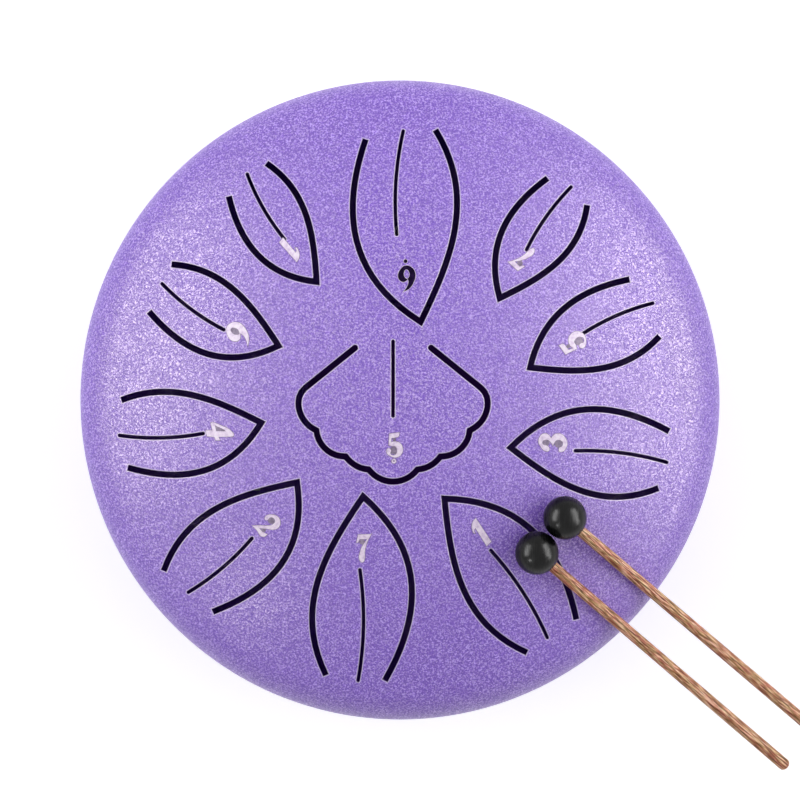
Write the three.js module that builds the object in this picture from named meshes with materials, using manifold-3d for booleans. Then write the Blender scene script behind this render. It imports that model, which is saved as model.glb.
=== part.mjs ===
// Steel tongue drum with its pair of mallets lying on it. Millimetres, +Z up. The origin is on the
// drum's axis, on the surface that the feet stand on.
import * as THREE from "three";
import { mergeVertices } from "three/addons/utils/BufferGeometryUtils.js";
import Module from "manifold-3d";

// Both shells: one gauge of sheet, pressed to the same diameter
const DRUM_RADIUS = 150;
const SHEET = 1.8;

// Upper shell: a shallow crown, a rounded shoulder and an upright skirt
const CROWN_RADIUS = 280;
const SHOULDER_RADIUS = 26;
const SKIRT_HEIGHT = 14;

// Lower shell: an upright belt, a full belly and a tighter heel round a flat bottom
const BELT_HEIGHT = 5;
const BELLY_RADIUS = 85;
const BELLY_SWEEP = THREE.MathUtils.degToRad(50);
const HEEL_RADIUS = 28;
const SOUND_HOLE_RADIUS = 45;
const LIP_BEND = 4;
const LIP_HEIGHT = 6;

// Seam: the lower rim steps in and reaches up inside the skirt of the upper shell
const LAP_HEIGHT = 8;
const LAP_CLEARANCE = 0.3;

// Tongue pattern
const SLOT_WIDTH = 2.6;
const RIB_SLIT_WIDTH = 1.4;
const RIM_MARGIN = 14.3; // from the rim to the outermost end of a slot
const FULL_SIDE_SHAPE = 1.25; // a leaf's fuller side swells most towards its tip
const LEAN_SIDE_SHAPE = 0.55; // its leaner side swells most towards its root
const RIB_BOW = 0.04; // sideways bow of a rib slit, as a share of its length

// Feet: a recessed rubber foot held by a washer, a pan-head screw and a nut inside the drum
const FOOT_COUNT = 3;
const FOOT_BEARING = 90; // degrees from +X to the first foot
const FOOT_MARGIN = 8; // from the edge of the flat bottom to a foot
const FOOT_HEIGHT = 9;
const FOOT_TOP_RADIUS = 13;
const FOOT_TAPER = 2;
const FOOT_ROUNDING = 1.2;
const FOOT_WEB = 4; // rubber left above the recess
const WASHER_RADIUS = 5.5;
const WASHER_THICKNESS = 1;
const RECESS_CLEARANCE = 0.5;
const SCREW_RADIUS = 2;
const SCREW_HEAD_RADIUS = 3.9;
const SCREW_HEAD_HEIGHT = 2.4;
const SCREW_CLEARANCE = 0.3;
const SCREW_STICK_OUT = 1.2; // shank that shows beyond the nut
const SCREW_CHAMFER = 0.5;
const NUT_ACROSS_FLATS = 7;
const NUT_HEIGHT = 3.2;

// Mallets: a rubber ball on a tapered stick, lying side by side on the dome
const HEAD_RADIUS = 10.2;
const SOCKET_DEPTH = 12;
const GLUE_GAP = 0.3;
const MALLET_LENGTH = 199;
const HANDLE_HEAD_RADIUS = 2.6;
const HANDLE_TAIL_RADIUS = 3;
const TAIL_ROUNDING = 1.8;
const HEAD_REACHES = [94.6, 93.4]; // from the drum's axis to each head
const PAIR_BEARING = -41.9; // degrees from +X to the point between the heads
const HANDLE_BEARINGS = [-40.7, -40.3]; // degrees, the ways that the handles point in plan
const HEAD_GAP = 0.3;
const REST_GAP = 0.3; // between a mallet and the dome that it lies on

// Facets
const SHELL_SIDES = 56;
const SMALL_SIDES = 16;
const LEAF_STEPS = 9;
const RIB_STEPS = 4;
const SLOT_END_STEPS = 3;

// Settling of the mallets
const STEEPEST_RISE = THREE.MathUtils.degToRad(-72);
const HANDLE_SAMPLES = 60; // points tested along a handle
const HALVINGS = 40;

const wasm = await Module();
wasm.setup();

const vec = (x, y) => new THREE.Vector2(x, y);
const fromBearing = (degrees, length) =>
  vec(length, 0).rotateAround(vec(0, 0), THREE.MathUtils.degToRad(degrees));

// Levels and radii that follow from the driving dimensions
const RIGHT_ANGLE = Math.PI / 2;
const crownSweep = Math.asin((DRUM_RADIUS - SHOULDER_RADIUS) / (CROWN_RADIUS - SHOULDER_RADIUS));
const bottomZ = FOOT_HEIGHT;
const heelCentre = vec(
  DRUM_RADIUS - BELLY_RADIUS + (BELLY_RADIUS - HEEL_RADIUS) * Math.cos(BELLY_SWEEP),
  bottomZ + HEEL_RADIUS,
);
const bellyCentre = vec(
  DRUM_RADIUS - BELLY_RADIUS,
  heelCentre.y + (BELLY_RADIUS - HEEL_RADIUS) * Math.sin(BELLY_SWEEP),
);
const seamZ = bellyCentre.y + BELT_HEIGHT;
const shoulderCentre = vec(DRUM_RADIUS - SHOULDER_RADIUS, seamZ + SKIRT_HEIGHT);
const crownCentre = vec(
  0,
  shoulderCentre.y - (CROWN_RADIUS - SHOULDER_RADIUS) * Math.cos(crownSweep),
);
const crownZ = crownCentre.y + CROWN_RADIUS;
const lapRadius = DRUM_RADIUS - SHEET - LAP_CLEARANCE;
const footCircle = heelCentre.x - FOOT_MARGIN - FOOT_TOP_RADIUS;
const holeRadius = SCREW_RADIUS + SCREW_CLEARANCE;

const finish = (color, roughness, metalness) =>
  new THREE.MeshStandardMaterial({ color, roughness, metalness });
const purpleCoat = finish(0x8f6fce, 0.5, 0.1);
const blackRubber = finish(0x1c1c1c, 0.5, 0);
const zincSteel = finish(0xb9bcc0, 0.35, 0.9);
const streakedWood = finish(0xa5653f, 0.55, 0);

// Solids and meshes

function solidOf(geometry) {
  const bare = geometry.clone().deleteAttribute("normal").deleteAttribute("uv");
  const merged = mergeVertices(bare, 1e-4);
  return new wasm.Manifold(
    new wasm.Mesh({
      numProp: 3,
      vertProperties: new Float32Array(merged.attributes.position.array),
      triVerts: new Uint32Array(merged.index.array),
    }),
  );
}

function geometryOf(solid) {
  const mesh = solid.getMesh();
  const geometry = new THREE.BufferGeometry();
  geometry.setAttribute("position", new THREE.BufferAttribute(mesh.vertProperties, 3));
  geometry.setIndex(new THREE.BufferAttribute(mesh.triVerts, 1));
  geometry.computeVertexNormals();
  return geometry;
}

function named(name, geometry, material) {
  const mesh = new THREE.Mesh(geometry, material);
  mesh.name = name;
  return mesh;
}

// A profile of (radius, height) points turned round the Z axis; it runs anticlockwise round the solid
function revolve(profile, sides) {
  return new THREE.LatheGeometry(profile, sides).rotateX(RIGHT_ANGLE);
}

// Points on an arc of a profile; angles are measured from +Z towards the outside
function arc(centre, radius, from, to, steps) {
  return Array.from({ length: steps + 1 }, (_, i) => {
    const angle = from + ((to - from) * i) / steps;
    return vec(centre.x + radius * Math.sin(angle), centre.y + radius * Math.cos(angle));
  });
}

// A bar of one shape, upright between two levels
function prism(shape, lowZ, highZ) {
  const geometry = new THREE.ExtrudeGeometry(shape, { depth: highZ - lowZ, bevelEnabled: false });
  return geometry.translate(0, 0, lowZ);
}

// Tongue pattern: slots drawn in plan, as seen from above

// Points of a curve from one end to the other, its sideways swell given at each third
function swollen(from, to, swellNearFrom, swellNearTo, steps) {
  const along = to.clone().sub(from);
  const aside = vec(along.y, -along.x).normalize();
  const curve = new THREE.CubicBezierCurve(
    from,
    from.clone().addScaledVector(along, 1 / 3).addScaledVector(aside, swellNearFrom),
    from.clone().addScaledVector(along, 2 / 3).addScaledVector(aside, swellNearTo),
    to,
  );
  return curve.getPoints(steps);
}

// At its middle, such a curve has this share of the swell at each third
const MIDWAY_SHARE = 3 / 8;

// The same, with the height of its belly at mid length and how the thirds share it
function belly(from, to, height, shape, steps) {
  const bothThirds = height / MIDWAY_SHARE;
  const nearFrom = bothThirds / (1 + shape);
  return swollen(from, to, nearFrom, bothThirds - nearFrom, steps);
}

// Points of a circular arc between two points, bulging to the left of the way by its sagitta
function bulge(from, to, sagitta, steps) {
  const chord = to.clone().sub(from);
  const half = chord.length() / 2;
  const radius = (half * half + sagitta * sagitta) / (2 * sagitta);
  const aside = vec(-chord.y, chord.x).normalize();
  const centre = from.clone().lerp(to, 0.5).addScaledVector(aside, sagitta - radius);
  const sweep = 4 * Math.atan(sagitta / half);
  return Array.from({ length: steps + 1 }, (_, i) =>
    from.clone().rotateAround(centre, (-sweep * i) / steps),
  );
}

// The two edges of a slot of even width along a centreline, mitred at its corners
function slotEdges(centreline, width) {
  const points = centreline.filter((p, i) => i === 0 || p.distanceTo(centreline[i - 1]) > 1e-6);
  const normals = points.slice(1).map((p, i) => {
    const way = p.clone().sub(points[i]).normalize();
    return vec(-way.y, way.x);
  });
  const edge = (side) =>
    points.map((point, i) => {
      const before = normals[Math.max(i - 1, 0)];
      const after = normals[Math.min(i, normals.length - 1)];
      const mitre = before.clone().add(after).divideScalar(1 + before.dot(after));
      return point.clone().addScaledVector(mitre, (side * width) / 2);
    });
  return { right: edge(-1), left: edge(1) };
}

// Outline of a slot that is cut square at its ends
function squareSlot(centreline, width) {
  const { right, left } = slotEdges(centreline, width);
  return [...right, ...left.reverse()];
}

// The same slot with half-round ends
function roundSlot(centreline, width) {
  const { right, left } = slotEdges(centreline, width);
  const farEnd = bulge(left.at(-1), right.at(-1), width / 2, SLOT_END_STEPS).reverse();
  const nearEnd = bulge(right[0], left[0], width / 2, SLOT_END_STEPS).reverse();
  return [
    ...right.slice(1, -1),
    ...farEnd,
    ...left.slice(1, -1).reverse(),
    ...nearEnd,
  ];
}

// Each leaf tongue: its tip, the two ends of its slot at its root, how far its fuller and its leaner
// side belly out, and the two ends of the slit along its rib
const LEAVES = {
  low_6: {
    tip: [9.5, 36], fullEnd: [-16, 121], leanEnd: [16.5, 125.5], full: 17.5, lean: 12.5,
    rib: [[1.5, 125], [-1.5, 76.5]],
  },
  note_7: {
    tip: [46, 47], fullEnd: [68.5, 103], leanEnd: [87, 90.5], full: 10.5, lean: 8,
    rib: [[79.5, 99], [58.5, 69.5]],
  },
  note_5: {
    tip: [60, 15], fullEnd: [106.5, 56], leanEnd: [120.5, 29.5], full: 10, lean: 8,
    rib: [[117.5, 45], [85, 31]],
  },
  note_3: {
    tip: [51, -22], fullEnd: [125, -14.5], leanEnd: [120, -41], full: 14, lean: 10.5,
    rib: [[124, -29], [81, -23.5]],
  },
  note_1: {
    tip: [20.5, -45.5], fullEnd: [82, -102], leanEnd: [59, -117.5], full: 16.5, lean: 12,
    rib: [[68.5, -110.5], [42, -69.5]],
  },
  low_7: {
    tip: [-17, -44.5], fullEnd: [-7, -130.5], leanEnd: [-34.5, -128], full: 17.5, lean: 12.5,
    rib: [[-19.5, -130.5], [-18.5, -78.5]],
  },
  note_2: {
    tip: [-47.5, -38], fullEnd: [-87, -98.5], leanEnd: [-110, -79.5], full: 14.5, lean: 10.5,
    rib: [[-98.5, -89.5], [-68.5, -64]],
  },
  note_4: {
    tip: [-64, -10.5], fullEnd: [-126.5, -31.5], leanEnd: [-129.5, 0], full: 12.5, lean: 7.5,
    rib: [[-130.5, -16.5], [-91, -15.5]],
  },
  note_6: {
    tip: [-56, 25], fullEnd: [-116.5, 41], leanEnd: [-106, 63], full: 12, lean: 8,
    rib: [[-110.5, 54], [-81.5, 32.5]],
  },
  high_1: {
    tip: [-38.5, 54.5], fullEnd: [-79.5, 94.5], leanEnd: [-62, 110], full: 10, lean: 7.5,
    rib: [[-71, 105], [-53.5, 74.5]],
  },
};

// The centre tongue is a fan with a scalloped edge, alike on both sides of its middle line. Its right half
// runs straight from the root to a shoulder, then in lobes that each end at a point and bulge by a sagitta
const FAN = {
  middle: -3.2,
  rootEnd: [17.5, 24],
  shoulder: [40.5, 5.5],
  lobes: [
    { to: [43.6, -1.2], sagitta: 0.8, steps: 2 },
    { to: [35.3, -14], sagitta: 2.3, steps: 4 },
    { to: [21.8, -26], sagitta: 3.6, steps: 5 },
    { to: [11.2, -32], sagitta: 1.4, steps: 4 },
  ],
  middleLobe: { sagitta: 5.6, steps: 8 },
  rib: [27, -7.3],
};

// The whole pattern grows or shrinks with the dome, so that its outermost end keeps RIM_MARGIN
const drawnReach = Math.max(
  ...Object.values(LEAVES).flatMap((leaf) =>
    [leaf.fullEnd, leaf.leanEnd, ...leaf.rib].map((end) => Math.hypot(...end)),
  ),
);
const patternScale = (DRUM_RADIUS - RIM_MARGIN) / drawnReach;
const onPattern = ([x, y]) => vec(x, y).multiplyScalar(patternScale);

function leafSlots({ tip, fullEnd, leanEnd, full, lean, rib }) {
  const point = onPattern(tip);
  const fullSide = belly(
    point, onPattern(fullEnd), -full * patternScale, 1 / FULL_SIDE_SHAPE, LEAF_STEPS,
  );
  const leanSide = belly(
    point, onPattern(leanEnd), lean * patternScale, 1 / LEAN_SIDE_SHAPE, LEAF_STEPS,
  );
  const [ribRoot, ribTip] = rib.map(onPattern);
  const ribBow = RIB_BOW * ribRoot.distanceTo(ribTip);
  return [
    squareSlot([...fullSide.reverse(), ...leanSide], SLOT_WIDTH),
    roundSlot(belly(ribRoot, ribTip, ribBow, 1, RIB_STEPS), RIB_SLIT_WIDTH),
  ];
}

function fanSlots() {
  const place = ([x, y]) => onPattern([FAN.middle + x, y]);
  const mirrored = (p) => vec(2 * FAN.middle * patternScale - p.x, p.y);
  const right = [place(FAN.rootEnd), place(FAN.shoulder)];
  for (const { to, sagitta, steps } of FAN.lobes) {
    right.push(...bulge(right.at(-1), place(to), sagitta * patternScale, steps));
  }
  const left = right.map(mirrored).reverse();
  const { sagitta, steps } = FAN.middleLobe;
  const middleLobe = bulge(right.at(-1), left[0], sagitta * patternScale, steps);
  const [ribTop, ribEnd] = FAN.rib.map((y) => place([0, y]));
  return [
    roundSlot([...right, ...middleLobe, ...left], SLOT_WIDTH),
    roundSlot([ribTop, ribEnd], RIB_SLIT_WIDTH),
  ];
}

// Shells

// Face of the dome, inset by a depth into the sheet, from the axis to the bottom of the skirt
function domeFace(inset) {
  return [
    ...arc(crownCentre, CROWN_RADIUS - inset, 0, crownSweep, 5),
    ...arc(shoulderCentre, SHOULDER_RADIUS - inset, crownSweep, RIGHT_ANGLE, 5).slice(1),
    vec(DRUM_RADIUS - inset, seamZ),
  ];
}

function upperShell() {
  const profile = [...domeFace(0), ...domeFace(SHEET).reverse()];
  let dome = solidOf(revolve(profile.reverse(), SHELL_SIDES));
  const slots = [...Object.values(LEAVES).flatMap(leafSlots), ...fanSlots()];
  for (const outline of slots) {
    dome = dome.subtract(solidOf(prism(new THREE.Shape(outline), seamZ, crownZ + SHEET)));
  }
  return named("upper_shell", geometryOf(dome), purpleCoat);
}

// Face of the bowl, inset by a depth into the sheet, from the top of the rim to the lip of the hole
function bowlFace(inset) {
  const bellyEnd = RIGHT_ANGLE + BELLY_SWEEP;
  const lipCentre = vec(SOUND_HOLE_RADIUS + LIP_BEND, bottomZ + LIP_BEND);
  return [
    vec(lapRadius - inset, seamZ + LAP_HEIGHT),
    vec(lapRadius - inset, seamZ - inset),
    vec(DRUM_RADIUS - inset, seamZ - inset),
    ...arc(bellyCentre, BELLY_RADIUS - inset, RIGHT_ANGLE, bellyEnd, 4),
    ...arc(heelCentre, HEEL_RADIUS - inset, bellyEnd, Math.PI, 3).slice(1),
    ...arc(lipCentre, LIP_BEND - inset, Math.PI, 3 * RIGHT_ANGLE, 2),
    vec(SOUND_HOLE_RADIUS + inset, bottomZ + LIP_HEIGHT),
  ];
}

function lowerShell() {
  const face = bowlFace(0);
  const profile = [...face, ...bowlFace(SHEET).reverse(), face[0]];
  let bowl = solidOf(revolve(profile.reverse(), SHELL_SIDES));
  for (const place of footPlaces()) {
    const hole = new THREE.CylinderGeometry(holeRadius, holeRadius, 4 * SHEET, SMALL_SIDES);
    hole.rotateX(RIGHT_ANGLE).translate(place.x, place.y, bottomZ);
    bowl = bowl.subtract(solidOf(hole));
  }
  return named("lower_shell", geometryOf(bowl), purpleCoat);
}

// Feet, each built round its own axis with its bottom at Z = 0

const recessTop = FOOT_HEIGHT - FOOT_WEB;
const washerBottom = recessTop - WASHER_THICKNESS;

function footPlaces() {
  return Array.from({ length: FOOT_COUNT }, (_, i) =>
    fromBearing(FOOT_BEARING + (360 / FOOT_COUNT) * i, footCircle),
  );
}

function footGeometry() {
  const recessRadius = WASHER_RADIUS + RECESS_CLEARANCE;
  const soleRadius = FOOT_TOP_RADIUS - FOOT_TAPER;
  const rounding = vec(soleRadius - FOOT_ROUNDING, FOOT_ROUNDING);
  const profile = [
    vec(holeRadius, FOOT_HEIGHT),
    vec(holeRadius, recessTop),
    vec(recessRadius, recessTop),
    vec(recessRadius, 0),
    ...arc(rounding, FOOT_ROUNDING, Math.PI, RIGHT_ANGLE, 3),
    vec(FOOT_TOP_RADIUS, FOOT_HEIGHT),
    vec(holeRadius, FOOT_HEIGHT),
  ];
  return revolve(profile, SMALL_SIDES);
}

function washerGeometry() {
  const profile = [
    vec(holeRadius, recessTop),
    vec(holeRadius, washerBottom),
    vec(WASHER_RADIUS, washerBottom),
    vec(WASHER_RADIUS, recessTop),
    vec(holeRadius, recessTop),
  ];
  return revolve(profile, SMALL_SIDES);
}

function screwGeometry() {
  const tipZ = FOOT_HEIGHT + SHEET + NUT_HEIGHT + SCREW_STICK_OUT;
  const crown = vec(SCREW_HEAD_RADIUS - SCREW_HEAD_HEIGHT, washerBottom);
  const profile = [
    vec(0, washerBottom - SCREW_HEAD_HEIGHT),
    ...arc(crown, SCREW_HEAD_HEIGHT, Math.PI, RIGHT_ANGLE, 3),
    vec(SCREW_RADIUS, washerBottom),
    vec(SCREW_RADIUS, tipZ - SCREW_CHAMFER),
    vec(SCREW_RADIUS - SCREW_CHAMFER, tipZ),
    vec(0, tipZ),
  ];
  return revolve(profile, SMALL_SIDES);
}

function nutGeometry() {
  const corner = NUT_ACROSS_FLATS / Math.sqrt(3);
  const hexagon = Array.from({ length: 6 }, (_, i) => fromBearing(60 * i, corner));
  const shape = new THREE.Shape(hexagon);
  shape.holes.push(new THREE.Path().absarc(0, 0, holeRadius, 0, 2 * Math.PI, true));
  const lowZ = FOOT_HEIGHT + SHEET;
  return prism(shape, lowZ, lowZ + NUT_HEIGHT);
}

function feet() {
  const all = new THREE.Group();
  footPlaces().forEach((place, i) => {
    const foot = new THREE.Group();
    foot.position.set(place.x, place.y, 0);
    foot.add(named(`foot_${i + 1}`, footGeometry(), blackRubber));
    foot.add(named(`foot_washer_${i + 1}`, washerGeometry(), zincSteel));
    foot.add(named(`foot_screw_${i + 1}`, screwGeometry(), zincSteel));
    foot.add(named(`foot_nut_${i + 1}`, nutGeometry(), zincSteel));
    all.add(foot);
  });
  return all;
}

// Mallets, each built along its own Z axis with the centre of its head at Z = 0

function headGeometry() {
  const socketRadius = HANDLE_HEAD_RADIUS + GLUE_GAP;
  const mouth = Math.asin(socketRadius / HEAD_RADIUS);
  const socketEnd = HEAD_RADIUS - SOCKET_DEPTH;
  const profile = [
    ...arc(vec(0, 0), HEAD_RADIUS, Math.PI, mouth, 10),
    vec(socketRadius, socketEnd),
    vec(0, socketEnd),
  ];
  return revolve(profile, SMALL_SIDES);
}

function handleGeometry() {
  const seatedEnd = HEAD_RADIUS - SOCKET_DEPTH + GLUE_GAP;
  const tailEnd = MALLET_LENGTH - HEAD_RADIUS;
  const tailRound = vec(HANDLE_TAIL_RADIUS - TAIL_ROUNDING, tailEnd - TAIL_ROUNDING);
  const profile = [
    vec(0, seatedEnd),
    vec(HANDLE_HEAD_RADIUS, seatedEnd),
    vec(HANDLE_HEAD_RADIUS, HEAD_RADIUS),
    ...arc(tailRound, TAIL_ROUNDING, RIGHT_ANGLE, 0, 3),
    vec(0, tailEnd),
  ];
  return revolve(profile, SMALL_SIDES);
}

// Clear distance from a point above the drum to the face of the dome
function heightOffDome(point) {
  const out = vec(Math.hypot(point.x, point.y), point.z);
  const fromCrown = out.clone().sub(crownCentre);
  if (Math.atan2(fromCrown.x, fromCrown.y) < crownSweep) return fromCrown.length() - CROWN_RADIUS;
  return out.distanceTo(shoulderCentre) - SHOULDER_RADIUS;
}

// The value between two limits at which a rising quantity reaches zero
function solveRising(low, high, quantity) {
  for (let i = 0; i < HALVINGS; i++) {
    const middle = (low + high) / 2;
    if (quantity(middle) < 0) low = middle;
    else high = middle;
  }
  return high;
}

// A mallet lies with its head on the crown and its handle on the shoulder of the dome
function mallet(number, head, handleBearing) {
  const headAt = (z) => new THREE.Vector3(head.x, head.y, z);
  const headZ = solveRising(
    seamZ, crownZ + 2 * HEAD_RADIUS, (z) => heightOffDome(headAt(z)) - HEAD_RADIUS - REST_GAP,
  );
  const plan = fromBearing(handleBearing, 1);
  const direction = (rise) =>
    new THREE.Vector3(plan.x * Math.cos(rise), plan.y * Math.cos(rise), Math.sin(rise));
  const shaftLength = MALLET_LENGTH - HEAD_RADIUS;
  const handleGap = (rise) => {
    const way = direction(rise);
    const gaps = Array.from({ length: HANDLE_SAMPLES }, (_, i) => {
      const share = (i + 1) / HANDLE_SAMPLES;
      const radius = THREE.MathUtils.lerp(HANDLE_HEAD_RADIUS, HANDLE_TAIL_RADIUS, share);
      const point = headAt(headZ).addScaledVector(way, share * shaftLength);
      return heightOffDome(point) - radius - REST_GAP;
    });
    return Math.min(...gaps);
  };
  const rise = solveRising(STEEPEST_RISE, 0, handleGap);
  const group = new THREE.Group();
  group.position.copy(headAt(headZ));
  group.quaternion.setFromUnitVectors(new THREE.Vector3(0, 0, 1), direction(rise));
  group.add(named(`mallet_head_${number}`, headGeometry(), blackRubber));
  group.add(named(`mallet_handle_${number}`, handleGeometry(), streakedWood));
  return group;
}

function mallets() {
  const pair = new THREE.Group();
  HEAD_REACHES.forEach((reach, i) => {
    const halfAngle = THREE.MathUtils.radToDeg(Math.asin((HEAD_RADIUS + HEAD_GAP / 2) / reach));
    const side = i === 0 ? -1 : 1;
    const head = fromBearing(PAIR_BEARING + side * halfAngle, reach);
    pair.add(mallet(i + 1, head, HANDLE_BEARINGS[i]));
  });
  return pair;
}

const drum = new THREE.Group();
drum.add(upperShell(), lowerShell(), feet(), mallets());

export default drum;
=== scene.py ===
import math

import bmesh
import bpy
import numpy as np
from mathutils import Matrix, Vector, kdtree
from mathutils.geometry import delaunay_2d_cdt


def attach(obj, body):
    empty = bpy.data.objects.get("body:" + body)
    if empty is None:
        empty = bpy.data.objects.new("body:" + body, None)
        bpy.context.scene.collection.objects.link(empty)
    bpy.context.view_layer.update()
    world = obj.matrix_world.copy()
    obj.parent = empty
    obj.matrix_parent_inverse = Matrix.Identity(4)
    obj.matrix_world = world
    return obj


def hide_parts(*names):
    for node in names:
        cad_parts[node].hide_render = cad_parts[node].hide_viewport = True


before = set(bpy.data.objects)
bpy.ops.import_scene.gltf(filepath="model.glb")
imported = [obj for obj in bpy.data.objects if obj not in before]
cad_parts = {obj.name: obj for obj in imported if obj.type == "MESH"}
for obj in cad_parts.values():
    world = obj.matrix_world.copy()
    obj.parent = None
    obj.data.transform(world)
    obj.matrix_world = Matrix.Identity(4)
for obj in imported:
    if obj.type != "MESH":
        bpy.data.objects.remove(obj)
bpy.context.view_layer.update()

# Sizes in millimetres, the same as the CAD's. Meshes are made in metres
MM = 0.001
RIGHT_ANGLE = math.pi / 2
HALF_TURN = math.pi
FULL_TURN = 2 * math.pi

DRUM_RADIUS = 150
SHEET = 1.8
CROWN_RADIUS = 280
SHOULDER_RADIUS = 26
SKIRT_HEIGHT = 14
BELT_HEIGHT = 5
BELLY_RADIUS = 85
BELLY_SWEEP = math.radians(50)
HEEL_RADIUS = 28
SOUND_HOLE_RADIUS = 45
LIP_BEND = 4
LIP_HEIGHT = 6
LAP_HEIGHT = 8
LAP_CLEARANCE = 0.3

SLOT_WIDTH = 2.6
RIB_SLIT_WIDTH = 1.4
RIM_MARGIN = 14.3
FULL_SIDE_SHAPE = 1.25
LEAN_SIDE_SHAPE = 0.55
RIB_BOW = 0.04

FOOT_COUNT = 3
FOOT_BEARING = RIGHT_ANGLE
FOOT_MARGIN = 8
FOOT_HEIGHT = 9
FOOT_TOP_RADIUS = 13
FOOT_TAPER = 2
FOOT_ROUNDING = 1.2
FOOT_WEB = 4
WASHER_RADIUS = 5.5
WASHER_THICKNESS = 1
RECESS_CLEARANCE = 0.5
SCREW_RADIUS = 2
SCREW_HEAD_RADIUS = 3.9
SCREW_HEAD_HEIGHT = 2.4
SCREW_CLEARANCE = 0.3
SCREW_STICK_OUT = 1.2
SCREW_CHAMFER = 0.5
NUT_ACROSS_FLATS = 7
NUT_HEIGHT = 3.2

HEAD_RADIUS = 10.2
SOCKET_DEPTH = 12
GLUE_GAP = 0.3
MALLET_LENGTH = 199
HANDLE_HEAD_RADIUS = 2.6
HANDLE_TAIL_RADIUS = 3
TAIL_ROUNDING = 1.8

# Sizes of the finish that the CAD leaves out
SLOT_ROUNDING = 0.4
SEAM_ROUNDING = 0.6
MOUTH_ROUNDING = 0.5
CROSS_LENGTH = 3.6
CROSS_WIDTH = 0.75
CROSS_DEPTH = 1.3
NUMERAL_HEIGHT = 12
STICKER_THICKNESS = 0.2
FILM_THICKNESS = 0.1
FILM_EDGE = 0.22
PATCH_THICKNESS = 0.13

# How far the round balls and handle ends keep inside the corners of the CAD's faceted ones
HEAD_FACET_DEPTH = 0.13
TAIL_FACET_DEPTH = 0.1

# Levels and radii that follow from the sizes
crown_sweep = math.asin((DRUM_RADIUS - SHOULDER_RADIUS) / (CROWN_RADIUS - SHOULDER_RADIUS))
bottom_z = FOOT_HEIGHT
heel_x = DRUM_RADIUS - BELLY_RADIUS + (BELLY_RADIUS - HEEL_RADIUS) * math.cos(BELLY_SWEEP)
heel_z = bottom_z + HEEL_RADIUS
belly_x = DRUM_RADIUS - BELLY_RADIUS
belly_z = heel_z + (BELLY_RADIUS - HEEL_RADIUS) * math.sin(BELLY_SWEEP)
seam_z = belly_z + BELT_HEIGHT
shoulder_x = DRUM_RADIUS - SHOULDER_RADIUS
shoulder_z = seam_z + SKIRT_HEIGHT
crown_z = shoulder_z - (CROWN_RADIUS - SHOULDER_RADIUS) * math.cos(crown_sweep)
lap_radius = DRUM_RADIUS - SHEET - LAP_CLEARANCE
foot_circle = heel_x - FOOT_MARGIN - FOOT_TOP_RADIUS
hole_radius = SCREW_RADIUS + SCREW_CLEARANCE
ball_radius = HEAD_RADIUS - HEAD_FACET_DEPTH
tail_radius = HANDLE_TAIL_RADIUS - TAIL_FACET_DEPTH
sheet_length = CROWN_RADIUS * crown_sweep + SHOULDER_RADIUS * (RIGHT_ANGLE - crown_sweep) + SKIRT_HEIGHT


# Nodes

def node(tree, kind, inputs=None, **settings):
    """A node with its settings. An input is a value or the socket that feeds it."""
    made = tree.nodes.new(kind)
    for name, value in settings.items():
        setattr(made, name, value)
    for key, value in (inputs or {}).items():
        if isinstance(value, bpy.types.NodeSocket):
            tree.links.new(value, made.inputs[key])
        else:
            made.inputs[key].default_value = value
    return made


def maths(tree, operation, *values):
    return node(tree, "ShaderNodeMath", dict(enumerate(values)), operation=operation).outputs[0]


# Materials

def linear(red, green, blue):
    """A colour as a screen shows it, 0 to 255, in linear light."""
    def channel(level):
        share = level / 255
        return share / 12.92 if share <= 0.04045 else ((share + 0.055) / 1.055) ** 2.4
    return (channel(red), channel(green), channel(blue), 1)


def material(name, **constants):
    made = bpy.data.materials.new(name)
    made.use_nodes = True
    shader = made.node_tree.nodes["Principled BSDF"]
    for socket, value in constants.items():
        shader.inputs[socket.replace("_", " ")].default_value = value
    return made, made.node_tree, shader


def ramp(tree, share, *stops):
    made = node(tree, "ShaderNodeValToRGB", {"Fac": share})
    elements = made.color_ramp.elements
    while len(elements) < len(stops):
        elements.new(1)
    for element, (position, colour) in zip(elements, stops):
        element.position = position
        element.color = linear(*colour)
    return made.outputs["Color"]


def mixed(tree, share, first, second):
    made = node(tree, "ShaderNodeMix", data_type="RGBA")
    for key, value in (("Factor", share), ("A", first), ("B", second)):
        sockets = [s for s in made.inputs if s.name == key and s.enabled]
        if isinstance(value, bpy.types.NodeSocket):
            tree.links.new(value, sockets[0])
        else:
            sockets[0].default_value = value
    return next(s for s in made.outputs if s.enabled)


def noise(tree, vector, scale, detail=2.0, roughness=0.5, distortion=0.0):
    return node(tree, "ShaderNodeTexNoise", {
        "Vector": vector, "Scale": scale, "Detail": detail,
        "Roughness": roughness, "Distortion": distortion,
    }).outputs["Fac"]


def spread(tree, value, low, high, to_low, to_high):
    """A value between two levels, mapped to two others."""
    return node(tree, "ShaderNodeMapRange", {
        "Value": value, "From Min": low, "From Max": high, "To Min": to_low, "To Max": to_high,
    }).outputs["Result"]


def feed(tree, shader, socket, value):
    tree.links.new(value, shader.inputs[socket])


def bump(tree, shader, height, distance):
    made = node(tree, "ShaderNodeBump", {"Height": height, "Distance": distance})
    feed(tree, shader, "Normal", made.outputs["Normal"])


def object_place(tree):
    return node(tree, "ShaderNodeTexCoord").outputs["Object"]


def attribute(tree, name, output):
    return node(tree, "ShaderNodeAttribute", attribute_name=name).outputs[output]


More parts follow.
